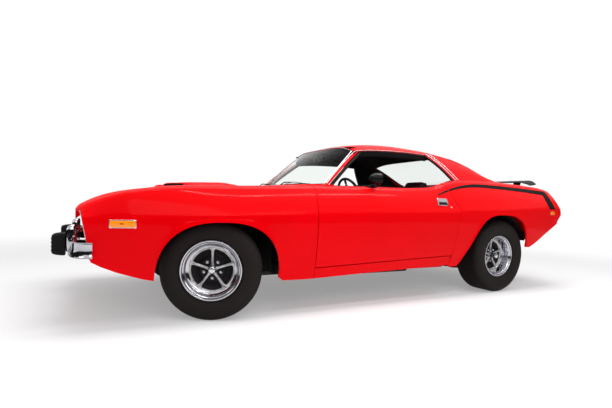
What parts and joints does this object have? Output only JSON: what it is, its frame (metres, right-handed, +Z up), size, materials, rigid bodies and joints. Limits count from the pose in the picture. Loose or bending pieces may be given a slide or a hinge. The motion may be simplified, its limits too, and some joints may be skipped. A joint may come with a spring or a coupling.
{
  "type": "two-door muscle car",
  "caption": "Two-door hardtop muscle car with long hood, twin hood scoops, rear spoiler, bucket seats and spoked road wheels; doors, hood, deck lid, steering and wheels move.",
  "frame": {"origin": "on the ground under the middle of the overall box", "axes": "-Y to the front of the car, +X to its left side, +Z up"},
  "size_m": [1.8966, 4.7716, 1.3731],
  "materials": {
    "red_paint": "gloss",
    "black_paint": "satin",
    "chrome": "polished",
    "bumper_rubber": "matte",
    "black_plastic": "matte",
    "gloss_black": "gloss",
    "lamp_glass": "clear",
    "red_lens": "gloss",
    "clear_glass": "clear",
    "dark_vinyl": "satin",
    "cast_iron": "rough",
    "exhaust_steel": "satin",
    "wheel_steel": "satin",
    "tyre_rubber": "matte"
  },
  "bodies": {
    "body": {"underbody": "black_paint", "trunk_tub": "black_paint", "sills": "red_paint", "cowl_panel": "red_paint", "roof": "red_paint", "left_quarter_panel": "red_paint", "right_quarter_panel": "red_paint", "left_fender": "red_paint", "right_fender": "red_paint", "front_valance": "red_paint", "grille_panel": "black_plastic", "headlights": "lamp_glass", "front_bumper": "chrome", "bumper_guards": "bumper_rubber", "tail_panels": "red_paint", "tail_lights": "red_lens", "rear_bumper": "chrome", "windshield": "clear_glass", "rear_window": "clear_glass", "dashboard": "black_plastic", "steering_column": "black_plastic", "front_seats": "dark_vinyl", "rear_seat": "dark_vinyl", "engine": "cast_iron", "exhaust": "exhaust_steel", "fuel_tank": "black_paint", "front_suspension": "black_paint", "rear_suspension": "black_paint"},
    "hood": {"hood": "red_paint"},
    "deck_lid": {"deck_lid": "red_paint", "rear_spoiler": "black_plastic"},
    "left_door": {"left_door": "red_paint", "door_mirror": "gloss_black"},
    "right_door": {"right_door": "red_paint"},
    "steering_wheel": {"steering_wheel": "black_plastic"},
    "left_knuckle": {"left_front_knuckle": "cast_iron"},
    "right_knuckle": {"right_front_knuckle": "cast_iron"},
    "left_front_wheel": {"left_front_wheel": "wheel_steel", "left_front_tyre": "tyre_rubber"},
    "right_front_wheel": {"right_front_wheel": "wheel_steel", "right_front_tyre": "tyre_rubber"},
    "left_rear_wheel": {"left_rear_wheel": "wheel_steel", "left_rear_tyre": "tyre_rubber"},
    "right_rear_wheel": {"right_rear_wheel": "wheel_steel", "right_rear_tyre": "tyre_rubber"}
  },
  "joints": [
    {"name": "hood_hinge", "type": "hinge", "parent": "body", "child": "hood", "pos_m": [0, -0.78725, 0.946], "axis": [-1, 0, 0], "range_deg": [0, 50]},
    {"name": "deck_lid_hinge", "type": "hinge", "parent": "body", "child": "deck_lid", "pos_m": [0, 1.52575, 1.092], "axis": [1, 0, 0], "range_deg": [0, 65]},
    {"name": "left_door_hinge", "type": "hinge", "parent": "body", "child": "left_door", "pos_m": [0.942, -0.75995, 0.6], "axis": [0, 0, -1], "range_deg": [0, 65]},
    {"name": "right_door_hinge", "type": "hinge", "parent": "body", "child": "right_door", "pos_m": [-0.942, -0.75995, 0.6], "axis": [0, 0, 1], "range_deg": [0, 65]},
    {"name": "left_steering", "type": "hinge", "parent": "body", "child": "left_knuckle", "pos_m": [0.67, -1.43075, 0.329], "axis": [0, 0, 1], "range_deg": [-11, 55]},
    {"name": "right_steering", "type": "hinge", "parent": "body", "child": "right_knuckle", "pos_m": [-0.67, -1.43075, 0.329], "axis": [0, 0, 1], "range_deg": [-11, 55]},
    {"name": "steering_wheel_turn", "type": "hinge", "parent": "body", "child": "steering_wheel", "pos_m": [0.36, -0.16925, 0.85], "axis": [0, 0.9272, 0.3746], "range_deg": [-176, 880]},
    {"name": "left_front_spin", "type": "hinge", "parent": "left_knuckle", "child": "left_front_wheel", "pos_m": [0.72841, -1.45435, 0.329], "axis": [0.9272, -0.3746, 0], "continuous": true},
    {"name": "right_front_spin", "type": "hinge", "parent": "right_knuckle", "child": "right_front_wheel", "pos_m": [-0.72841, -1.40715, 0.329], "axis": [0.9272, -0.3746, 0], "continuous": true},
    {"name": "left_rear_spin", "type": "hinge", "parent": "body", "child": "left_rear_wheel", "pos_m": [0.7475, 1.31225, 0.352], "axis": [1, 0, 0], "continuous": true},
    {"name": "right_rear_spin", "type": "hinge", "parent": "body", "child": "right_rear_wheel", "pos_m": [-0.7475, 1.31225, 0.352], "axis": [1, 0, 0], "continuous": true}
  ],
  "couplings": [
    {"joint": "right_steering", "follows": "left_steering", "ratio": 1},
    {"joint": "steering_wheel_turn", "follows": "left_steering", "ratio": 16}
  ]
}
